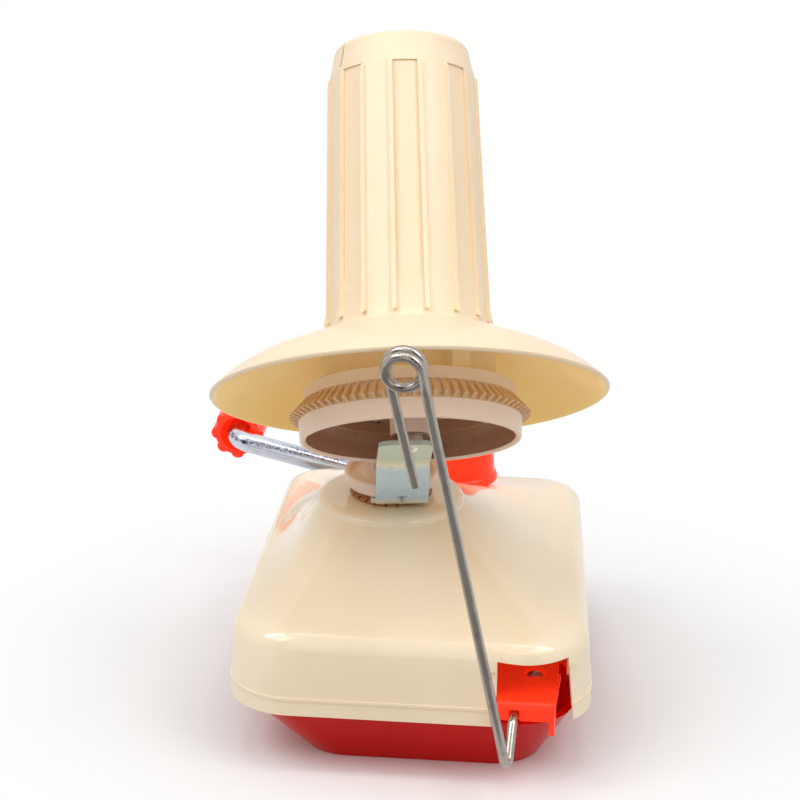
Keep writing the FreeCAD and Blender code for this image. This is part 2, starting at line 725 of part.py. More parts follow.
def carrier_bracket():
    """Bent strip: a flange round the spindle, a facet that leans out and a facet square to the pin."""
    tilt = math.radians(TILT)
    up_facet = V(0, -math.cos(tilt), math.sin(tilt))
    seat = PIN_SEAT - SHEET
    under_pin = V(0, seat * math.sin(tilt) - PIN_REACH, PIN_Z + seat * math.cos(tilt))
    bend = under_pin - up_facet * FACET_BELOW
    tip = under_pin + up_facet * FACET_ABOVE
    outline = strip_outline([tip, bend, V(0, BRACKET_FRONT, FLANGE_Z), V(0, BRACKET_HEEL, FLANGE_Z)], SHEET)
    left = V(BRACKET_X - BRACKET_WIDTH / 2, 0, 0)
    face = Part.Face(Part.makePolygon([p + left for p in outline + [outline[0]]]))
    strip = face.extrude(V(BRACKET_WIDTH, 0, 0))
    strip = strip.makeFillet(BEND_R + SHEET, edges_on_corners(strip, [outline[2], outline[6]]))
    strip = strip.makeFillet(BEND_R, edges_on_corners(strip, [outline[1], outline[5]]))
    strip = strip.makeFillet(BRACKET_CORNER, end_edges(strip, -PIN_REACH - 40, tip.y + 2))
    strip = strip.makeFillet(6.0, end_edges(strip, BRACKET_HEEL - 1, BRACKET_HEEL + 1))
    side = BRACKET_X - BRACKET_WIDTH / 2
    ear = block(side - 1.5, side + 1, BRACKET_FRONT + 2.6, BRACKET_FRONT + 8, FLANGE_Z, FLANGE_Z + SHEET)
    dart = prism([(-1.8, 0), (1.8, 0), (0, 3.4)], FLANGE_Z - 2, FLANGE_Z + 6)
    dart.translate(V(BRACKET_X, BRACKET_FRONT - 2.4, 0))
    hole = upright(4.2, 0, 0, FLANGE_Z - 2, FLANGE_Z + 4)
    rivet = to_pin(upright(RIVET_R, 0, 0, seat - 2, PIN_SEAT + 2))
    return on_carrier(strip.fuse(ear).cut(Part.makeCompound([rivet, dart, hole])))


def spool_pin():
    """Steel pin riveted through the bracket, with a shoulder under the gear and a groove for its clip."""
    low = PIN_SEAT - SHEET
    return on_pin(turned([
        (0, low - 1.2), ("arc", 1.6, low - 0.8), (2.3, low), (RIVET_R, low), (RIVET_R, PIN_SEAT),
        (PIN_COLLAR_R, PIN_SEAT), (PIN_COLLAR_R, GEAR_HUB_LOW - 0.1), (PIN_R, GEAR_HUB_LOW - 0.1),
        (PIN_R, CLIP_S), (PIN_R - 0.6, CLIP_S), (PIN_R - 0.6, CLIP_S + 0.9), (PIN_R, CLIP_S + 0.9),
        (PIN_R, CLIP_S + 2.4), (PIN_R - 0.6, CLIP_S + 3.0), (0, CLIP_S + 3.0),
    ]))


def pin_clip():
    """Open clip in the pin's groove."""
    clip = ring(6.0, PIN_R - 0.6, CLIP_S + 0.05, CLIP_S + 0.85)
    return on_pin(clip.cut(block(-1.3, 1.3, 0, 8, CLIP_S - 1, CLIP_S + 2)))


# Spool

def ring_gear():
    """Open cup with a shoulder of bevelled fins, a plain disc over them and stepped rings inside."""
    bore = PIN_R + RUN
    body = turned([
        (bore, GEAR_HUB_LOW), (GEAR_HUB_R - 0.4, GEAR_HUB_LOW), (GEAR_HUB_R, GEAR_HUB_LOW + 0.4),
        (GEAR_HUB_R + 0.6, 12.5), (13.0, 12.5), (13.0, 9.0), (14.6, 9.0), (14.6, 12.5),
        (26.4, 12.5), (26.4, 8.0), (28.0, 8.0), (28.0, 12.6), (30.4, 12.6), (33.6, 7.4),
        (CUP_R - 1.9, 0.7), (CUP_R - 1.2, 0), (CUP_R - 0.3, 0), (CUP_R, 0.3),
        (CUP_R + 0.4, RING_UNDER_S), (RING_ROOT_LOW, RING_TIP_S), (RING_ROOT_HIGH, DISC_S), (DISC_R, DISC_S),
        (DISC_R, DISC_TOP - 0.3), (DISC_R - 0.3, DISC_TOP), (bore, DISC_TOP),
    ])
    half = RING_FIN / 2
    profile = [
        V(CUP_R - 0.8, -half, RING_UNDER_S), V(CUP_R + 0.3, -half, RING_UNDER_S),
        V(RING_TIP_R, -half, RING_TIP_S),
        V(DISC_R, -half, DISC_S), V(RING_ROOT_HIGH - 1.2, -half, DISC_S),
    ]
    fin = Part.Face(Part.makePolygon(profile + [profile[0]])).extrude(V(0, RING_FIN, 0))
    fin.rotate(ORIGIN, Z_AXIS, RING_PHASE)
    holes = around(upright(1.5, GEAR_SCREW_R, 0, 9, DISC_TOP + 1), 3, ORIGIN, Z_AXIS)
    gear = body.fuse(around(fin, RING_TEETH, ORIGIN, Z_AXIS))
    return on_pin(gear.cut(Part.makeCompound(holes)))


def gear_screws():
    """Three screws up through the ring gear into the spool's boss."""
    screws = []
    for screw in around(spool_screw(), 3, ORIGIN, Z_AXIS):
        screws.append(on_pin(screw))
    return Part.makeCompound(screws)


def spool_screw():
    """One pan-head screw in the spool's own frame."""
    head = [(0, 9.9), ("arc", 1.7, 10.2), (2.6, 11.3), (2.6, 12.45)]
    screw = turned(head + [(1.45, 12.45), (1.45, DISC_TOP + 7), (0, DISC_TOP + 7)])
    cross = block(-1.5, 1.5, -0.3, 0.3, 9, 10.9).fuse(block(-0.3, 0.3, -1.5, 1.5, 9, 10.9))
    screw = screw.cut(cross)
    screw.translate(V(GEAR_SCREW_R, 0, 0))
    return screw


def spool():
    """Ribbed tapering tube with its saucer flange, a boss under it and bearings for the pin."""
    bore = PIN_R + RUN
    wall = 2.0
    neck = BOSS_R
    body = turned([
        (bore, DISC_TOP), (neck, DISC_TOP), (neck, 32.6), (45.0, 26.6), ("arc", 55.4, 21.4),
        (FLANGE_R - 1.7, FLANGE_RIM_S - 0.8), (FLANGE_R - 1.2, FLANGE_RIM_S - 1.0),
        (FLANGE_R - 0.3, FLANGE_RIM_S - 0.6),
        (FLANGE_R, FLANGE_RIM_S), ("arc", 56.4, 23.2), (45.5, 28.7), (29.8, 34.7), ("arc", 27.4, 35.8),
        (FOOT_R, FOOT_S),
        (SPOOL_TOP_R, SPOOL_TOP_S), (SPOOL_TOP_R - 1.0, SPOOL_TOP_S), (SPOOL_TOP_R - wall, SPOOL_TOP_S - 1.0),
        (SPOOL_TOP_R - wall, TOP_WEB_S), (bore, TOP_WEB_S), (bore, TOP_WEB_S - 6), (7.5, TOP_WEB_S - 6),
        (7.5, TOP_WEB_S - 2.4), (SPOOL_TOP_R - wall, TOP_WEB_S - 2.4), (FOOT_R - wall, FOOT_S),
        (neck - wall, 31.4), (neck - wall, DISC_TOP + 2.4),
        (7.5, DISC_TOP + 2.4), (7.5, DISC_TOP + 9), (bore, DISC_TOP + 9),
    ])
    ribs = []
    for i in range(RIB_COUNT):
        rib = spool_rib()
        rib.rotate(ORIGIN, Z_AXIS, -90 + (i + 0.5) * 360.0 / RIB_COUNT)
        ribs.append(rib)
    bosses = around(upright(3.4, GEAR_SCREW_R, 0, DISC_TOP + 1, DISC_TOP + 8), 3, ORIGIN, Z_AXIS)
    lug = block(18, 33.0, -3.2, 3.2, DISC_TOP, 32)
    lug.rotate(ORIGIN, Z_AXIS, -62)
    body = body.fuse(ribs + bosses + [lug.cut(upright(neck - 1, 0, 0, 0, 60))])
    pilots = around(upright(1.45, GEAR_SCREW_R, 0, DISC_TOP - 1, DISC_TOP + 7.1), 3, ORIGIN, Z_AXIS)
    panels = around(sunk_panel(), RIB_COUNT // 2, ORIGIN, Z_AXIS)
    return on_pin(body.cut(Part.makeCompound(pilots)).cut(Part.makeCompound(panels)))


def sunk_panel():
    """The cutter for one shallow panel between two ribs, round at its foot."""
    half_low = FOOT_R * math.sin(math.pi / RIB_COUNT) - RIB_WIDTH / 2
    half_high = SPOOL_TOP_R * math.sin(math.pi / RIB_COUNT) - RIB_WIDTH / 2
    foot = V(0, 0, PANEL_LOW)
    low = [V(0, -half_low, PANEL_LOW + 4), V(0, half_low, PANEL_LOW + 4)]
    high = [V(0, half_high, SPOOL_TOP_S + 1), V(0, -half_high, SPOOL_TOP_S + 1)]
    edges = [
        Part.Arc(low[0], foot, low[1]).toShape(),
        Part.LineSegment(low[1], high[0]).toShape(),
        Part.LineSegment(high[0], high[1]).toShape(),
        Part.LineSegment(high[1], low[0]).toShape(),
    ]
    tongue = Part.Face(Part.Wire(edges)).extrude(V(40, 0, 0))
    sunk = PANEL_DEPTH
    over = 1.5
    sleeve = turned([
        (FOOT_R - sunk, FOOT_S), (FOOT_R + over, FOOT_S), (SPOOL_TOP_R + over, SPOOL_TOP_S),
        (SPOOL_TOP_R + over, SPOOL_TOP_S + 2),
        (SPOOL_TOP_R - sunk, SPOOL_TOP_S + 2), (SPOOL_TOP_R - sunk, SPOOL_TOP_S),
    ])
    panel = tongue.common(sleeve)
    panel.rotate(ORIGIN, Z_AXIS, -90)
    return panel


def spool_rib():
    """One thin rib on the spool's side, with a rounded top end."""
    low = V(FOOT_R - 0.6, 0, FOOT_S + 0.6)
    high = V(SPOOL_TOP_R - 0.6, 0, SPOOL_TOP_S - 1.4)
    out = RIB_PROUD + 0.6
    half = RIB_WIDTH / 2
    points = [
        low, low + V(out + 0.9, 0, -1.0), low + V(out, 0, 3.0),
        high + V(out, 0, 0), high + V(0.4, 0, 1.4), high,
    ]
    face = Part.Face(Part.makePolygon([p - V(0, half, 0) for p in points + [points[0]]]))
    return face.extrude(V(0, RIB_WIDTH, 0))


def spool_cap():
    """Plain tapered cap on the spool, with the slit that holds the yarn's end."""
    wall = 1.8
    skirt = SPOOL_TOP_R - 2.1
    body = turned([
        (skirt - 2.0, TOP_WEB_S), (skirt, TOP_WEB_S), (skirt, SPOOL_TOP_S), (SPOOL_TOP_R, SPOOL_TOP_S),
        (CAP_TOP_R + 0.75, CAP_TOP_S - 3.4), ("arc", CAP_TOP_R - 0.25, CAP_TOP_S - 0.9),
        (CAP_TOP_R - 2.6, CAP_TOP_S),
        (CAP_TOP_R - 5.0, CAP_TOP_S), (CAP_TOP_R - 6.0, CAP_TOP_S - 0.8), (0, CAP_TOP_S - 0.8),
        (0, CAP_TOP_S - 0.8 - wall), (CAP_TOP_R - 3.6, CAP_TOP_S - 0.8 - wall), (skirt - 2.0, SPOOL_TOP_S),
    ])
    slit = block(CAP_TOP_R - 9.5, 40, -SLIT_WIDTH / 2, SLIT_WIDTH / 2, SPOOL_TOP_S + 1.4, CAP_TOP_S + 2)
    slit.rotate(ORIGIN, Z_AXIS, SLIT_ANGLE)
    return on_pin(body.cut(slit))


# Crank

def crank_direction():
    """Unit vector from the crank's axis to the grip."""
    rise = math.radians(ARM_RISE)
    return V(-math.cos(rise), 0, math.sin(rise))


def grip_centre():
    return V(SPINDLE_X, 0, CRANK_Z) + crank_direction() * ARM_LENGTH


def crank_rod():
    """One rod bent twice: the axle, the arm and the pin that the grip turns on."""
    hub = V(SPINDLE_X, 0, CRANK_Z)
    far = grip_centre()
    path = bent_path([
        hub + V(0, AXLE_END, 0), hub + V(0, ARM_Y, 0), far + V(0, ARM_Y, 0), far + V(0, ROD_END, 0),
    ], [8.0, 5.5])
    return rod_along(path, ROD_R)


def crown_gear():
    """Face gear whose straight teeth point at the spindle."""
    face = PINION_R - CROWN_ADDENDUM
    root = PINION_R + CROWN_DEDENDUM
    back = root + CROWN_DISC
    hub_end = back + 8.8
    disc = turned([
        (ROD_R, root), (8.0, root), (8.0, root + 1.0), (CROWN_INNER - 1.5, root + 1.0),
        (CROWN_INNER - 0.5, root), (CROWN_OUTER, root), (CROWN_OUTER, back), (7.5, back),
        (7.0, back + 0.6), (7.0, hub_end), (ROD_R, hub_end),
    ])
    ends = []
    for radius, low, high in ((CROWN_INNER, 0.58, 0.3), (CROWN_OUTER, 0.72, 0.36)):
        section = [
            V(radius, -low, root + 0.3), V(radius, low, root + 0.3),
            V(radius, high, face), V(radius, -high, face),
        ]
        ends.append(Part.makePolygon(section + [section[0]]))
    tooth = Part.makeLoft(ends, True, True)
    tooth.rotate(ORIGIN, Z_AXIS, 90 + 180.0 / CROWN_TEETH)
    gear = disc.fuse(around(tooth, CROWN_TEETH, ORIGIN, Z_AXIS))
    gear = gear.cut(cylinder(1.5, V(0, 0, back + 4.4), V(0, 12, back + 4.4)))
    gear.rotate(ORIGIN, X_AXIS, -90)
    gear.translate(V(SPINDLE_X, SPINDLE_Y, CRANK_Z))
    return gear


def crown_screw():
    """Set screw that holds the crown gear on the axle."""
    y = SPINDLE_Y + PINION_R + CROWN_DEDENDUM + CROWN_DISC + 4.4
    screw = cylinder(1.48, V(SPINDLE_X, y, CRANK_Z - ROD_R), V(SPINDLE_X, y, CRANK_Z - 7.4))
    return screw.cut(block(SPINDLE_X - 2, SPINDLE_X + 2, y - 0.3, y + 0.3, CRANK_Z - 8, CRANK_Z - 6.4))


def crank_washer():
    """Washer pressed on the axle against the inner end of the bush."""
    washer = ring(7.0, ROD_R, 0, 1.0)
    washer.rotate(ORIGIN, X_AXIS, -90)
    washer.translate(V(SPINDLE_X, COVER_REAR - 12.5, CRANK_Z))
    return washer


def crank_grip():
    """Fluted grip with a deep round recess round the rod at each end."""
    bore = ROD_R + RUN
    lobes = around(upright(LOBE_R, GRIP_R - 1.1, 0, 0, GRIP_LENGTH), LOBE_COUNT, ORIGIN, Z_AXIS)
    grip = upright(GRIP_R, 0, 0, 0, GRIP_LENGTH).fuse(lobes).removeSplitter()
    ends = [e for e in grip.Edges if e.BoundBox.ZLength < 0.01]
    grip = grip.makeChamfer(0.6, ends)
    hollow = [
        upright(GRIP_RECESS_R, 0, 0, -1, GRIP_RECESS),
        upright(GRIP_RECESS_R, 0, 0, GRIP_LENGTH - GRIP_REAR_RECESS, GRIP_LENGTH + 1),
        upright(bore, 0, 0, 0, GRIP_LENGTH),
    ]
    grip = grip.cut(hollow[0].fuse(hollow[1:]))
    grip.rotate(ORIGIN, X_AXIS, -90)
    grip.translate(grip_centre() + V(0, GRIP_START, 0))
    return grip


def grip_clip():
    """Push-on clip that keeps the grip on its pin."""
    clip = ring(5.6, ROD_R, 0, 1.5)
    clip.rotate(ORIGIN, X_AXIS, -90)
    clip.translate(grip_centre() + V(0, ROD_END - 4, 0))
    return clip


# Yarn guide

def guide_lever():
    """Lever in the front notch: a plate round the pivot, a front face with the wire's slot and a side fin."""
    left, right = -10.4, 8.4
    left_rear, right_rear = -12.9, 7.4
    front = LEVER_FRONT - PIVOT_Y
    low = LEVER_TOP - 2.6
    wire_x = WIRE_EXIT_X - PIVOT_X
    plan = [(left, front), (right, front), (right_rear, LEVER_REAR), (left_rear, LEVER_REAR)]
    under_plate = block(-20, 20, front + 2.2, LEVER_REAR + 1, LEVER_FACE_LOW - 1, low)
    body = prism(plan, LEVER_FACE_LOW, LEVER_TOP).cut(under_plate)
    body = body.makeFillet(3.0, edges_on_corners(body, [V(0, front, LEVER_TOP)]))
    lowest = [e for e in body.Edges if e.BoundBox.ZMax < LEVER_FACE_LOW + 0.01]
    body = body.makeFillet(2.5, [e for e in lowest if e.BoundBox.XMax < left + 0.01])
    hub = upright(6.0, 0, 0, 27.3, LEVER_TOP)
    side = right - 1.8
    fin_points = [
        V(side, front + 0.6, 31), V(side, front + 0.6, 21.5), V(side, front + 2.2, 21.5),
        V(side, front + 9, 28.4), V(side, 4, 29.0), V(side, 4, 31),
    ]
    fin = Part.Face(Part.makePolygon(fin_points + [fin_points[0]])).extrude(V(1.8, 0, 0))
    grip = block(wire_x - 3.0, wire_x + 3.0, front + 2.0, -8.0, 26.0, LEVER_TOP - 1)
    lever = body.fuse([hub, fin, grip]).removeSplitter()
    cuts = [
        block(wire_x - 1.9, wire_x + 1.9, front - 1, front + 2.21, 20, 30.4),
        cylinder(WIRE_R, V(wire_x, front - 2, WIRE_EXIT_Z), V(wire_x, WIRE_START_Y - PIVOT_Y, WIRE_EXIT_Z)),
        upright(3.6, 0, 0, 31.1, LEVER_TOP + 1),
        upright(2.4 + RUN, 0, 0, 20, LEVER_TOP),
    ]
    lever = lever.cut(Part.makeCompound(cuts))
    lever.translate(V(PIVOT_X, PIVOT_Y, 0))
    return lever


def guide_wire():
    """One wire: out of the lever, round a tight bend, up the long leg, one and a half turns and a tail."""
    start = V(WIRE_EXIT_X, WIRE_START_Y, WIRE_EXIT_Z)
    knee = V(WIRE_EXIT_X, -83.2, WIRE_EXIT_Z)
    axis = eye_axis()
    side = unit(axis.cross(unit(EYE - WIRE_FOOT)))
    leg = unit(EYE + side * EYE_R - WIRE_FOOT)
    side = unit(axis.cross(leg)) * -1
    if side.x < 0:
        side = side * -1
    up = unit(side.cross(axis))
    if up.z < 0:
        up = up * -1
    turns = 1.5
    pitch = 2 * WIRE_R + 1.2
    first = EYE + side * EYE_R

    def helix(angle):
        across = side * (EYE_R * math.cos(angle)) + up * (EYE_R * math.sin(angle))
        return EYE + across + axis * (pitch * angle / (2 * math.pi))

    def heading(angle):
        slope = pitch / (2 * math.pi)
        return unit(side * (-EYE_R * math.sin(angle)) + up * (EYE_R * math.cos(angle)) + axis * slope)

    lead = first - heading(0) * 6.0
    edges = bent_path([start, knee, WIRE_FOOT, lead], [4.0, 2.6])
    last = edges[-1]
    here = last.valueAt(last.LastParameter)
    direction = last.tangentAt(last.LastParameter)
    edges += biarc(here, direction, first, heading(0))
    quarter = math.pi / 2
    for i in range(int(turns * 4)):
        here, there = i * quarter, (i + 1) * quarter
        edges += biarc(helix(here), heading(here), helix(there), heading(there))
    end = turns * 2 * math.pi
    edges.append(Part.LineSegment(helix(end), helix(end) + heading(end) * WIRE_TAIL).toShape())
    return rod_along(edges, WIRE_R)


def eye_axis():
    """The axis of the eyelet's turns, square to the long leg and away from the spool's front."""
    leg = unit(EYE - WIRE_FOOT)
    return unit(Y_AXIS - leg * leg.dot(Y_AXIS))


# Table clamp

def clamp_knob():
    """Slightly tapered knob with a rounded foot flange and a dished top."""
    low = SEAT_BOSS_Z + 0.2
    high = low + KNOB_HEIGHT
    knob = turned([
        (SCREW_R, low), (KNOB_R - 0.8, low), ("arc", KNOB_R - 0.2, low + 0.3), (KNOB_R, low + 1.2),
        (KNOB_R - 0.4, low + 2.4), (KNOB_R - 1.0, low + 3.0), (KNOB_R - 1.9, high - 2.5),
        ("arc", KNOB_R - 2.6, high - 0.8), (KNOB_R - 4.4, high),
        (KNOB_R - 6.0, high), (KNOB_R - 7.0, high - 1.0), (0, high - 1.0), (0, high - 6), (SCREW_R, high - 6),
    ])
    knob.translate(V(KNOB_X, KNOB_Y, 0))
    return knob


def clamp_screw():
    top = SEAT_BOSS_Z + 0.2 + KNOB_HEIGHT - 6
    screw = turned([
        (0, SCREW_LOW), (SCREW_R - 0.8, SCREW_LOW), (SCREW_R, SCREW_LOW + 0.8),
        (SCREW_R, CLIP_Z - 0.9), (SCREW_R - 0.6, CLIP_Z - 0.9),
        (SCREW_R - 0.6, CLIP_Z), (SCREW_R, CLIP_Z), (SCREW_R, top), (0, top),
    ])
    screw.translate(V(KNOB_X, KNOB_Y, 0))
    return screw


def screw_clip():
    clip = ring(5.6, SCREW_R - 0.6, CLIP_Z - 0.85, CLIP_Z - 0.05)
    clip = clip.cut(block(-1.2, 1.2, 0, 8, CLIP_Z - 2, CLIP_Z + 1))
    clip.translate(V(KNOB_X, KNOB_Y, 0))
    return clip


def clamp_jaw():
    """Bent steel strip: an ear with the nut, an upright leg behind the screw and a foot under the base."""
    half = JAW_WIDTH / 2
    ear = block(-half, half, KNOB_Y - 8, JAW_REAR, NUT_Z - SHEET, NUT_Z)
    leg = block(-half, half, JAW_REAR - SHEET, JAW_REAR, 1.0, NUT_Z)
    foot = block(-half, half, JAW_FRONT, JAW_REAR, 1.0, 1.0 + SHEET)
    jaw = ear.fuse([leg, foot]).removeSplitter()
    jaw.translate(V(KNOB_X, 0, 0))
    upright_edges = [e for e in jaw.Edges if abs(e.Length - SHEET) < 0.01 and e.BoundBox.ZMax < 3]
    jaw = jaw.makeFillet(4.0, [e for e in upright_edges if e.BoundBox.YMax < JAW_FRONT + 1])
    return jaw.cut(upright(3.6, KNOB_X, KNOB_Y, NUT_Z - 4, NUT_Z + 1))


def jaw_nut():
    nut = hexagon(10.0, NUT_Z + 0.02, NUT_Z + 5.0, SCREW_R + 0.06)
    nut.translate(V(KNOB_X, KNOB_Y, 0))
    return nut


def jaw_pad():
    """Rubber pad on the foot, with three grooves."""
    half = JAW_WIDTH / 2 - 1
    pad = block(-half, half, JAW_FRONT + 1.5, JAW_FRONT + 16.5, 1.0 + SHEET, 5.4)
    grooves = []
    for i in range(3):
        start = JAW_FRONT + 4.4 + 4 * i
        grooves.append(block(-half - 1, half + 1, start, start + 1.2, 4.6, 6))
    pad = pad.cut(Part.makeCompound(grooves))
    pad.translate(V(KNOB_X, 0, 0))
    return pad


PARTS = [
    top_cover, base_tray, base_screws, center_post, upper_bush, thrust_washer, sun_gear, sun_nut, crank_bush,
    axle_bearing, guide_screw, guide_ring, clamp_bush,
    spindle, spindle_pinion, carrier_bracket, spool_pin, pin_clip,
    ring_gear, spool, spool_cap, gear_screws,
    crank_rod, crown_gear, crown_screw, crank_washer, crank_grip, grip_clip,
    guide_lever, guide_wire,
    clamp_knob, clamp_screw, screw_clip, clamp_jaw, jaw_nut, jaw_pad,
]

for make in PARTS:
    save(make.__name__, make())
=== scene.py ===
import json
import math

import bpy
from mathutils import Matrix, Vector


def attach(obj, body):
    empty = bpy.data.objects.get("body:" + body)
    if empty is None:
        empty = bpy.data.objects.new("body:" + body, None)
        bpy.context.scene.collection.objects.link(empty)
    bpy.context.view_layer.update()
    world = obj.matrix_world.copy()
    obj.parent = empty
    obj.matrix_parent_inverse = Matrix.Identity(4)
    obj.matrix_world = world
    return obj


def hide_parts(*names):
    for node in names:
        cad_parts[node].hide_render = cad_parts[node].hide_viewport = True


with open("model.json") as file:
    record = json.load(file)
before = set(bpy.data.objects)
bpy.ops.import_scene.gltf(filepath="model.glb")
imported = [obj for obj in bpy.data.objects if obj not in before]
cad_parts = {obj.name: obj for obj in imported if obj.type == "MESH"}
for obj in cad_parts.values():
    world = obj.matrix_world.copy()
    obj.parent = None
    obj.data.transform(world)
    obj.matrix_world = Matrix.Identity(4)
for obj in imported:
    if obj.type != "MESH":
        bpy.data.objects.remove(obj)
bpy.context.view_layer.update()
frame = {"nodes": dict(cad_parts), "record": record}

# A yarn ball winder in metres, in the frame of its model: +Z up, +Y towards the crank.


def paint(red, green, blue):
    """A colour given on the 0 to 255 scale, as the linear values that shaders take."""
    values = []
    for level in (red, green, blue):
        share = level / 255
        values.append(share / 12.92 if share <= 0.04045 else ((share + 0.055) / 1.055) ** 2.4)
    return (values[0], values[1], values[2], 1.0)


def turn_towards(place, aim):
    """The rotation that makes a camera, lamp or card at one place look at another."""
    return (Vector(aim) - Vector(place)).to_track_quat("-Z", "Y").to_euler()


# Camera, fitted to the photograph's outlines

CAMERA_PLACE = (0.11556, -1.04246, 0.50997)
CAMERA_AIM = (-0.01125, 0.0, 0.106)
CAMERA_LENS_MM = 148.4


def set_camera():
    """The photograph's view, with colours shown as they are."""
    lens = bpy.data.cameras.new("camera")
    lens.sensor_width = 36
    lens.lens = CAMERA_LENS_MM
    lens.clip_start = 0.05
    camera = bpy.data.objects.new("camera", lens)
    bpy.context.scene.collection.objects.link(camera)
    camera.location = CAMERA_PLACE
    camera.rotation_euler = turn_towards(CAMERA_PLACE, CAMERA_AIM)
    bpy.context.scene.camera = camera
    bpy.context.scene.view_settings.view_transform = "Standard"


# Lamps, backdrop and floor

OBJECT_MIDDLE = (0, 0, 0.1)
WORLD_GLOW = 0.47
FLOOR_FADE_START = 0.05
FLOOR_FADE_END = 0.19
FLOOR_BOUNCE = (0.62, 0.6, 0.58, 1)


def soft_lamp(name, place, width, height, watts):
    """A rectangular lamp turned to the middle of the object."""
    light = bpy.data.lights.new(name, "AREA")
    light.shape = "RECTANGLE"
    light.size = width
    light.size_y = height
    light.energy = watts
    lamp = bpy.data.objects.new(name, light)
    bpy.context.scene.collection.objects.link(lamp)
    lamp.location = place
    lamp.rotation_euler = turn_towards(place, OBJECT_MIDDLE)


def set_lights():
    soft_lamp("key_panel", (-0.6, -0.75, 1.1), 0.5, 0.6, 3.0)
    soft_lamp("fill_panel", (0.75, -0.65, 1.0), 0.4, 0.6, 2.6)
    soft_lamp("left_box", (-0.66, -0.3, 0.95), 0.2, 0.5, 2.5)
    soft_lamp("right_box", (0.62, -0.22, 1.0), 0.2, 0.5, 2.1)
    soft_lamp("top_panel", (0.0, -0.2, 1.5), 0.8, 0.6, 4.0)


def set_flags():
    """Dark cards that only mirrors see: two beside the camera and one on the floor in front of the wire."""
    for name, place, size, grey, lies_flat in (
        ("flag_right", (0.5, -1.2, 0.35), (0.7, 1.6), 0.03, False),
        ("flag_left", (-0.6, -1.05, 0.2), (0.45, 1.4), 0.03, False),
        ("flag_low", (0.06, -0.43, 0.001), (0.46, 0.6), 0.36, True),
    ):
        shade = bpy.data.materials.new(name)
        shade.use_nodes = True
        surface = shade.node_tree.nodes["Principled BSDF"]
        surface.inputs["Base Color"].default_value = (grey, grey, grey, 1)
        surface.inputs["Roughness"].default_value = 1.0
        surface.inputs["Specular IOR Level"].default_value = 0.0
        bpy.ops.object.select_all(action="DESELECT")
        bpy.ops.mesh.primitive_plane_add(size=1, location=place)
        card = bpy.context.object
        card.name = name
        card.scale = (size[0], size[1], 1)
        if not lies_flat:
            card.rotation_euler = turn_towards(place, OBJECT_MIDDLE)
        card.data.materials.append(shade)
        card.visible_camera = False
        card.visible_diffuse = False
        card.visible_shadow = False


def seen_white(tree, seen, other):
    """Mix two shaders so that the camera, mirrors and glass see the first and light comes from the second."""
    path = tree.nodes.new("ShaderNodeLightPath")
    first = tree.nodes.new("ShaderNodeMath")
    first.operation = "MAXIMUM"
    tree.links.new(path.outputs["Is Camera Ray"], first.inputs[0])
    tree.links.new(path.outputs["Is Glossy Ray"], first.inputs[1])
    second = tree.nodes.new("ShaderNodeMath")
    second.operation = "MAXIMUM"
    tree.links.new(first.outputs[0], second.inputs[0])
    tree.links.new(path.outputs["Is Transmission Ray"], second.inputs[1])
    mix = tree.nodes.new("ShaderNodeMixShader")
    tree.links.new(second.outputs[0], mix.inputs[0])
    tree.links.new(other, mix.inputs[1])
    tree.links.new(seen, mix.inputs[2])
    return mix.outputs[0]


def set_world():
    """An even studio glow, seen as plain white."""
    world = bpy.data.worlds.new("studio")
    bpy.context.scene.world = world
    world.use_nodes = True
    tree = world.node_tree
    tree.nodes.clear()
    glow = tree.nodes.new("ShaderNodeBackground")
    glow.inputs["Color"].default_value = (1.0, 0.99, 0.97, 1)
    glow.inputs["Strength"].default_value = WORLD_GLOW
    white = tree.nodes.new("ShaderNodeBackground")
    white.inputs["Color"].default_value = (1, 1, 1, 1)
    white.inputs["Strength"].default_value = 1.0
    out = tree.nodes.new("ShaderNodeOutputWorld")
    tree.links.new(seen_white(tree, white.outputs[0], glow.outputs[0]), out.inputs["Surface"])


def set_floor():
    """A pale floor that takes the object's shadow and fades to white away from it."""
    bpy.ops.object.select_all(action="DESELECT")
    bpy.ops.mesh.primitive_plane_add(size=8, location=(0, 0, -0.0002))
    floor = bpy.context.object
    floor.name = "floor"
    material = bpy.data.materials.new("pale_floor")
    material.use_nodes = True
    tree = material.node_tree
    surface = tree.nodes["Principled BSDF"]
    surface.inputs["Base Color"].default_value = (0.9, 0.9, 0.9, 1)
    surface.inputs["Roughness"].default_value = 0.9
    surface.inputs["Specular IOR Level"].default_value = 0.1
    white = tree.nodes.new("ShaderNodeEmission")
    white.inputs["Color"].default_value = (1, 1, 1, 1)
    white.inputs["Strength"].default_value = 1.0
    where = tree.nodes.new("ShaderNodeTexCoord")
    distance = tree.nodes.new("ShaderNodeVectorMath")
    distance.operation = "LENGTH"
    tree.links.new(where.outputs["Object"], distance.inputs[0])
    fade = tree.nodes.new("ShaderNodeMapRange")
    fade.interpolation_type = "SMOOTHSTEP"
    fade.inputs["From Min"].default_value = FLOOR_FADE_START
    fade.inputs["From Max"].default_value = FLOOR_FADE_END
    tree.links.new(distance.outputs["Value"], fade.inputs["Value"])
    blend = tree.nodes.new("ShaderNodeMixShader")
    tree.links.new(fade.outputs[0], blend.inputs[0])
    tree.links.new(surface.outputs[0], blend.inputs[1])
    tree.links.new(white.outputs[0], blend.inputs[2])
    bounce = tree.nodes.new("ShaderNodeBsdfDiffuse")
    bounce.inputs["Color"].default_value = FLOOR_BOUNCE
    out = tree.nodes["Material Output"]
    tree.links.new(seen_white(tree, blend.outputs[0], bounce.outputs[0]), out.inputs["Surface"])
    floor.data.materials.append(material)


# Materials

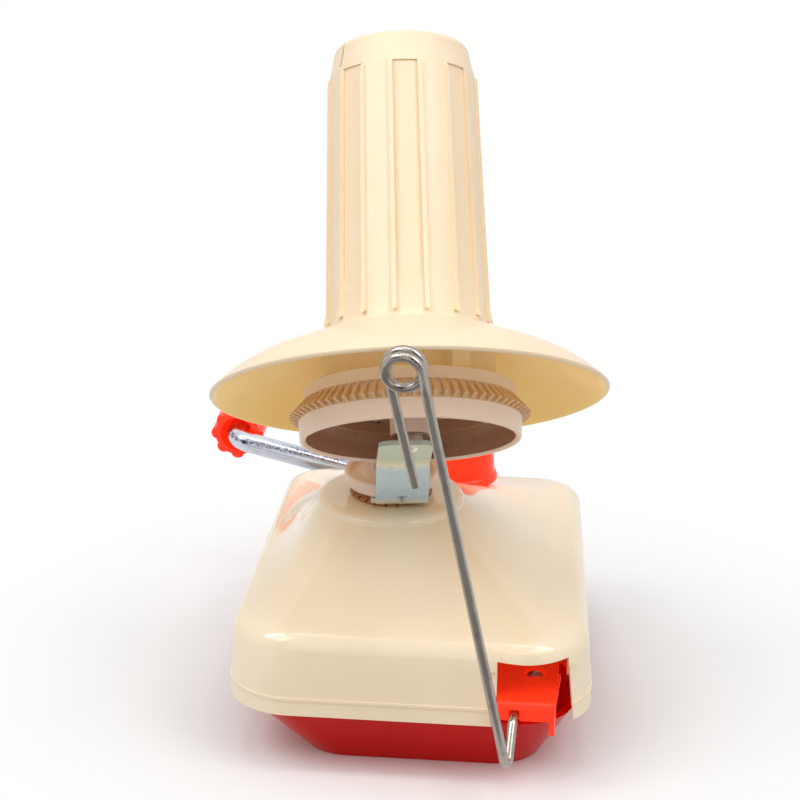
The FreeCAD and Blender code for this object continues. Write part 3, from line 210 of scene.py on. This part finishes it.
class Finish:
    """A material with a surface shader and the small set of textures that these finishes need."""

    def __init__(self, name, roughness, specular=0.5, metallic=0.0):
        self.material = bpy.data.materials.new(name)
        self.material.use_nodes = True
        self.tree = self.material.node_tree
        self.surface = self.tree.nodes["Principled BSDF"]
        self.surface.inputs["Roughness"].default_value = roughness
        self.surface.inputs["Specular IOR Level"].default_value = specular
        self.surface.inputs["Metallic"].default_value = metallic
        where = self.tree.nodes.new("ShaderNodeTexCoord")
        self.place = where.outputs["Object"]

    def stretched(self, scale, turn=(0, 0, 0)):
        """The object's own coordinates, scaled and turned."""
        node = self.tree.nodes.new("ShaderNodeMapping")
        node.inputs["Scale"].default_value = scale
        node.inputs["Rotation"].default_value = turn
        self.tree.links.new(self.place, node.inputs["Vector"])
        return node.outputs[0]

    def noise(self, scale, detail=3.0, rough=0.5, place=None):
        """Soft noise from 0 to 1, about scale features to the metre."""
        node = self.tree.nodes.new("ShaderNodeTexNoise")
        node.inputs["Scale"].default_value = scale
        node.inputs["Detail"].default_value = detail
        node.inputs["Roughness"].default_value = rough
        self.tree.links.new(place or self.place, node.inputs["Vector"])
        return node.outputs["Fac"]

    def ramp(self, value, stops):
        """Colours along a value, given as (position, colour) from low to high."""
        node = self.tree.nodes.new("ShaderNodeValToRGB")
        node.color_ramp.elements[0].position = stops[0][0]
        node.color_ramp.elements[0].color = stops[0][1]
        node.color_ramp.elements[1].position = stops[-1][0]
        node.color_ramp.elements[1].color = stops[-1][1]
        for place, colour in stops[1:-1]:
            node.color_ramp.elements.new(place).color = colour
        self.tree.links.new(value, node.inputs[0])
        return node.outputs[0]

    def span(self, value, low, high, to_low, to_high):
        """One range of a value stretched onto another."""
        node = self.tree.nodes.new("ShaderNodeMapRange")
        node.inputs["From Min"].default_value = low
        node.inputs["From Max"].default_value = high
        node.inputs["To Min"].default_value = to_low
        node.inputs["To Max"].default_value = to_high
        self.tree.links.new(value, node.inputs["Value"])
        return node.outputs[0]

    def height(self):
        """Height above the underside of the base, in metres."""
        node = self.tree.nodes.new("ShaderNodeSeparateXYZ")
        self.tree.links.new(self.place, node.inputs[0])
        return node.outputs["Z"]

    def mixed(self, share, first, second, way="MIX"):
        """Two colours mixed, by a fixed share or by one that varies."""
        node = self.tree.nodes.new("ShaderNodeMix")
        node.data_type = "RGBA"
        node.blend_type = way
        if isinstance(share, float):
            node.inputs["Factor"].default_value = share
        else:
            self.tree.links.new(share, node.inputs["Factor"])
        for socket, colour in (("A", first), ("B", second)):
            target = [i for i in node.inputs if i.name == socket and i.type == "RGBA"][0]
            self.tree.links.new(colour, target)
        return [o for o in node.outputs if o.type == "RGBA"][0]

    def colour(self, value):
        self.tree.links.new(value, self.surface.inputs["Base Color"])

    def roughness(self, value):
        self.tree.links.new(value, self.surface.inputs["Roughness"])

    def bump(self, layers):
        """Bumps one on another, each given as (height, depth in metres)."""
        last = None
        for value, depth in layers:
            node = self.tree.nodes.new("ShaderNodeBump")
            node.inputs["Strength"].default_value = 1.0
            node.inputs["Distance"].default_value = depth
            self.tree.links.new(value, node.inputs["Height"])
            if last is not None:
                self.tree.links.new(last, node.inputs["Normal"])
            last = node.outputs[0]
        self.tree.links.new(last, self.surface.inputs["Normal"])


ORANGE_PEEL = 0.00001
WALL_SHARE = 0.08
WALL_DEPTH = 0.0015
WALL_REACH = (1.0, 0.55, 0.25)


def moulded(name, light, dark, roughness, specular, painted_glow):
    """Moulded plastic with faint flow marks, orange peel and scuffs, and a painted glow that stands in for
    light shining through the thin plastic.
    """
    finish = Finish(name, roughness, specular=specular)
    flow = finish.noise(22.0, 4.0, 0.55)
    finish.colour(finish.ramp(flow, [(0.32, dark), (0.68, light)]))
    scuffs = finish.noise(160.0, 6.0, 0.7, finish.stretched((1, 1, 0.25)))
    finish.roughness(finish.span(scuffs, 0.35, 0.75, roughness - 0.04, roughness + 0.07))
    finish.bump([(finish.noise(70.0, 2.0), ORANGE_PEEL * 3), (finish.noise(900.0, 2.0), ORANGE_PEEL)])
    finish.surface.inputs["Subsurface Weight"].default_value = WALL_SHARE
    finish.surface.inputs["Subsurface Scale"].default_value = WALL_DEPTH
    finish.surface.inputs["Subsurface Radius"].default_value = WALL_REACH
    # Painted glow: emission in the lighter colour, standing in for light that shines through the plastic
    finish.surface.inputs["Emission Color"].default_value = light
    finish.surface.inputs["Emission Strength"].default_value = painted_glow
    return finish.material


def turned_metal(name, light, dark, roughness):
    """Bright metal with fine machining lines and slightly uneven plating."""
    finish = Finish(name, roughness, metallic=1.0)
    cloud = finish.noise(120.0, 3.0)
    finish.colour(finish.ramp(cloud, [(0.3, dark), (0.7, light)]))
    lines = finish.noise(500.0, 2.0, 0.5, finish.stretched((1, 1, 6)))
    finish.roughness(finish.span(lines, 0.3, 0.7, roughness - 0.06, roughness + 0.1))
    finish.bump([(lines, 0.000006)])
    return finish.material


# Heights on the bracket between which its bloom changes colour
BLOOM_LOW = 0.0785
BLOOM_HIGH = 0.1205
BLOOM_WAVER = 0.14


def zinc_sheet():
    """Zinc-plated sheet with a bloom: blue-grey low down, straw at the bend and greenish above it."""
    finish = Finish("zinc_sheet", 0.34, metallic=0.45)
    level = finish.span(finish.height(), BLOOM_LOW, BLOOM_HIGH, 0.0, 1.0)
    wave = finish.noise(60.0, 3.0)
    shifted = finish.tree.nodes.new("ShaderNodeMath")
    shifted.operation = "MULTIPLY_ADD"
    shifted.inputs[1].default_value = BLOOM_WAVER
    finish.tree.links.new(wave, shifted.inputs[0])
    finish.tree.links.new(level, shifted.inputs[2])
    bloom = finish.ramp(shifted.outputs[0], [
        (0.06, paint(238, 234, 216)), (0.13, paint(208, 234, 255)), (0.44, paint(210, 236, 255)),
        (0.52, paint(248, 250, 226)), (0.6, paint(228, 244, 226)), (1.0, paint(222, 240, 232)),
    ])
    spots = finish.ramp(finish.noise(700.0, 5.0, 0.65), [(0.34, (0.86, 0.86, 0.86, 1)), (0.46, (1, 1, 1, 1))])
    finish.colour(finish.mixed(1.0, bloom, spots, "MULTIPLY"))
    rolled = finish.noise(260.0, 4.0, 0.6, finish.stretched((6, 1, 1)))
    finish.roughness(finish.span(rolled, 0.3, 0.7, 0.28, 0.46))
    finish.bump([(rolled, 0.00001), (finish.noise(1500.0, 2.0), 0.000004)])
    return finish.material


# The direction of the guide wire's long leg
WIRE_LEG = Vector((-0.0315, -0.0184, 0.1426))


def drawn_wire():
    """Satin steel wire with fine drawing marks along its leg and small dull patches."""
    finish = Finish("drawn_wire", 0.2, metallic=1.0)
    along = WIRE_LEG.to_track_quat("Z", "Y").to_euler()
    marks = finish.stretched((1, 1, 30), tuple(along))
    marks.node.vector_type = "TEXTURE"
    streaks = finish.noise(2200.0, 3.0, 0.5, marks)
    drawn = finish.ramp(streaks, [(0.3, paint(160, 151, 144)), (0.7, paint(178, 171, 164))])
    stains = finish.ramp(finish.noise(160.0, 5.0, 0.6), [(0.36, (0.8, 0.78, 0.76, 1)), (0.5, (1, 1, 1, 1))])
    finish.colour(finish.mixed(1.0, drawn, stains, "MULTIPLY"))
    finish.roughness(finish.span(streaks, 0.3, 0.7, 0.2, 0.28))
    finish.bump([(streaks, 0.0000004)])
    return finish.material


# The arm's fall to the right, and the heights of the band of painted dark reflection with that fall taken out
ARM_SLOPE = 0.1895
ARM_REFLECTION_LOW = 0.0385
ARM_REFLECTION_HIGH = 0.0425


def zinc_rod():
    """Bright zinc plate, faintly cloudy, with a band of painted dark reflection along the top of the arm,
    speckled like rough hammered metal.
    """
    finish = Finish("zinc_rod", 0.2, metallic=1.0)
    along = finish.noise(170.0, 5.0, 0.65, finish.stretched((0.25, 1, 1)))
    cloudy = finish.ramp(along, [
        (0.32, paint(186, 194, 210)), (0.5, paint(206, 212, 224)), (0.68, paint(226, 230, 236)),
    ])
    pits = finish.ramp(finish.noise(1300.0, 4.0, 0.7), [(0.34, (0.62, 0.64, 0.7, 1)), (0.43, (1, 1, 1, 1))])
    over = finish.tree.nodes.new("ShaderNodeVectorMath")
    over.operation = "DOT_PRODUCT"
    over.inputs[1].default_value = (ARM_SLOPE, 0, 1)
    finish.tree.links.new(finish.place, over.inputs[0])
    # A painted dark reflection along the top of the arm, dimming the highlight there, speckled like rough
    # hammered metal
    band = finish.ramp(finish.span(over.outputs["Value"], ARM_REFLECTION_LOW, ARM_REFLECTION_HIGH, 0.0, 1.0), [
        (0.2, (0, 0, 0, 1)), (0.4, (1, 1, 1, 1)), (0.7, (1, 1, 1, 1)), (0.9, (0, 0, 0, 1)),
    ])
    reflection_grains = finish.ramp(finish.noise(1100.0, 5.0, 0.7), [
        (0.42, paint(108, 104, 124)), (0.6, paint(206, 206, 216)),
    ])
    plating_with_reflection = finish.mixed(band, finish.mixed(0.8, cloudy, pits, "MULTIPLY"), reflection_grains)
    finish.colour(plating_with_reflection)
    finish.roughness(finish.span(along, 0.3, 0.7, 0.12, 0.24))
    finish.bump([(finish.noise(1300.0, 4.0, 0.7), 0.000008)])
    return finish.material


def black_rubber():
    """Dull black rubber with a fine grain."""
    finish = Finish("black_rubber", 0.75, specular=0.3)
    finish.colour(finish.ramp(finish.noise(200.0, 4.0), [(0.3, paint(22, 22, 22)), (0.7, paint(38, 37, 36))]))
    finish.roughness(finish.span(finish.noise(400.0), 0.3, 0.7, 0.65, 0.85))
    finish.bump([(finish.noise(1200.0, 4.0), 0.00003)])
    return finish.material


# Each moulded finish: lighter and darker colour, roughness, specular level and the strength of its painted
# glow, which stands in for light shining through the plastic
MOULDED = {
    "cream_gloss": ((255, 237, 208), (252, 232, 201), 0.1, 0.6, 0.0),
    "deep_red": ((196, 14, 6), (186, 10, 4), 0.2, 0.14, 0.15),
    "orange_red": ((255, 57, 24), (252, 50, 20), 0.24, 0.3, 0.36),
    "pale_cream": ((246, 226, 195), (243, 221, 188), 0.34, 0.35, 0.0),
    # The spool's own cream, warmer and deeper on its underside as a painted glow of light shining through the
    # saucer
    "under_cream_painted_glow": ((255, 226, 152), (252, 217, 136), 0.22, 0.4, 0.09),
    "tan_plastic": ((238, 216, 198), (231, 207, 188), 0.36, 0.4, 0.06),
    # The gear's own tan, darker and warmer on its fins as painted shade under the saucer
    "tan_fins_painted_shade": ((230, 194, 152), (222, 182, 138), 0.34, 0.35, 0.0),
    # The gear's own tan, darker inside the cup as painted shade
    "tan_inside_painted_shade": ((178, 132, 104), (166, 120, 92), 0.3, 0.35, 0.0),
    "dark_tan": ((196, 138, 88), (182, 124, 76), 0.36, 0.5, 0.0),
    "nylon": ((238, 234, 222), (230, 225, 212), 0.4, 0.5, 0.0),
}

# Each turned metal: lighter and darker reflected share of red, green and blue, and roughness
TURNED = {
    "steel": ((0.92, 0.91, 0.9, 1), (0.78, 0.77, 0.76, 1), 0.34),
    "dark_steel": ((0.24, 0.24, 0.25, 1), (0.16, 0.16, 0.17, 1), 0.32),
    "brass": ((0.83, 0.6, 0.28, 1), (0.7, 0.48, 0.2, 1), 0.26),
}


def make_finishes():
    """One material for each finish named in the record, and three more, carrying a painted glow and painted
    shade, for faces of spool and gear.
    """
    finishes = {}
    for name, (light, dark, roughness, specular, painted_glow) in MOULDED.items():
        finishes[name] = moulded(name, paint(*light), paint(*dark), roughness, specular, painted_glow)
    for name, (light, dark, roughness) in TURNED.items():
        finishes[name] = turned_metal(name, light, dark, roughness)
    finishes["zinc_sheet"] = zinc_sheet()
    finishes["zinc_rod"] = zinc_rod()
    finishes["wire"] = drawn_wire()
    finishes["black_rubber"] = black_rubber()
    return finishes


# Pieces that stand for a node: smooth shells, and faces with more than one finish, where a painted glow and
# painted shade go

MERGE_DISTANCE = 0.000002
SHELL_SMOOTH_DEG = 24
SPOOL_SMOOTH_DEG = 32
SPOOL_CENTRE = Vector((-0.0014027, -0.0519582, 0.1121))
SPOOL_AXIS = Vector((-0.089665, 0.547551, 0.831954)).normalized()


def merged_copy(name, angle):
    """A copy of a node with its loose triangles joined up and its soft surfaces shaded smooth."""
    node = frame["nodes"][name]
    piece = bpy.data.objects.new(name + "_finished", node.data.copy())
    bpy.context.scene.collection.objects.link(piece)
    bpy.ops.object.select_all(action="DESELECT")
    piece.select_set(True)
    bpy.context.view_layer.objects.active = piece
    bpy.ops.mesh.customdata_custom_splitnormals_clear()
    bpy.ops.object.mode_set(mode="EDIT")
    bpy.ops.mesh.select_all(action="SELECT")
    bpy.ops.mesh.remove_doubles(threshold=MERGE_DISTANCE)
    bpy.ops.object.mode_set(mode="OBJECT")
    bpy.ops.object.shade_smooth_by_angle(angle=math.radians(angle))
    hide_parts(name)
    return piece


def on_axis(point):
    """Height along the spool's axis, distance from it and the direction outwards."""
    offset = point - SPOOL_CENTRE
    height = offset.dot(SPOOL_AXIS)
    out = offset - SPOOL_AXIS * height
    return height, out.length, out.normalized()


def finish_faces(piece, materials, choose):
    """Give each face the finish whose number choose returns.

    It is asked with the face's height and radius, and with how far the face looks up the axis and
    outwards, each from -1 to 1.
    """
    piece.data.materials.clear()
    for material in materials:
        piece.data.materials.append(material)
    for face in piece.data.polygons:
        height, radius, out = on_axis(face.center)
        face.material_index = choose(height, radius, face.normal.dot(SPOOL_AXIS), face.normal.dot(out))


# The spool's rim, the top of its saucer and its middle, measured along the axis or out from it, which bound
# the painted glow under the saucer
SAUCER_RIM_R = 0.0642
SAUCER_TOP = 0.036
BOSS_R = 0.0265


def spool_finish(height, radius, rise, outward):
    """0 outside and on the saucer's rim, 1 on the saucer's underside, which gets a painted warm glow of light
    shining through it.
    """
    if radius > SAUCER_RIM_R or outward > 0.8:
        return 0
    if height < SAUCER_TOP and radius > BOSS_R and (rise < -0.15 or outward < -0.2):
        return 1
    return 0


# The ring gear's fins and its cup, measured in the same way, which bound the painted shade on the fins and
# inside the cup
FIN_FOOT_R = 0.0362
FIN_LOW = 0.006
CUP_R = 0.0359
CUP_LIP = 0.0006
CUP_FLOOR = 0.0125


def gear_finish(height, radius, rise, outward):
    """0 outside the cup, 1 on the fins, painted in warmer shade, 2 inside the cup, painted in darker shade.
    """
    if radius > FIN_FOOT_R and height > FIN_LOW:
        return 1
    if radius < CUP_R and (outward < -0.3 or rise < -0.3) and CUP_LIP < height < CUP_FLOOR:
        return 2
    return 0


def finished_housing(finishes):
    """Joined-up copies of the two shells, whose long curved walls then shade without seams."""
    for name, finish in (("top_cover", "cream_gloss"), ("base_tray", "deep_red")):
        shell = merged_copy(name, SHELL_SMOOTH_DEG)
        shell.data.materials.clear()
        shell.data.materials.append(finishes[finish])
        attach(shell, "housing")


def finished_spool(finishes):
    """Joined-up copies of the spool and its gear, whose inner faces get a painted glow under the saucer and
    painted shade on the gear's fins and inside its cup.
    """
    spool = merged_copy("spool", SPOOL_SMOOTH_DEG)
    finish_faces(spool, [finishes["pale_cream"], finishes["under_cream_painted_glow"]], spool_finish)
    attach(spool, "spool_body")
    gear = merged_copy("ring_gear", SPOOL_SMOOTH_DEG)
    finish_faces(gear, [finishes["tan_plastic"], finishes["tan_fins_painted_shade"], finishes["tan_inside_painted_shade"]], gear_finish)
    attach(gear, "spool_body")


def dress_nodes(finishes):
    """Give every node of the model the finish of its slot in the record."""
    for part in frame["record"]["subparts"]:
        node = frame["nodes"][part["node"]]
        node.data.materials.clear()
        node.data.materials.append(finishes[part["material_slot"]])


set_camera()
set_world()
set_lights()
set_flags()
set_floor()
finishes = make_finishes()
dress_nodes(finishes)
finished_housing(finishes)
finished_spool(finishes)
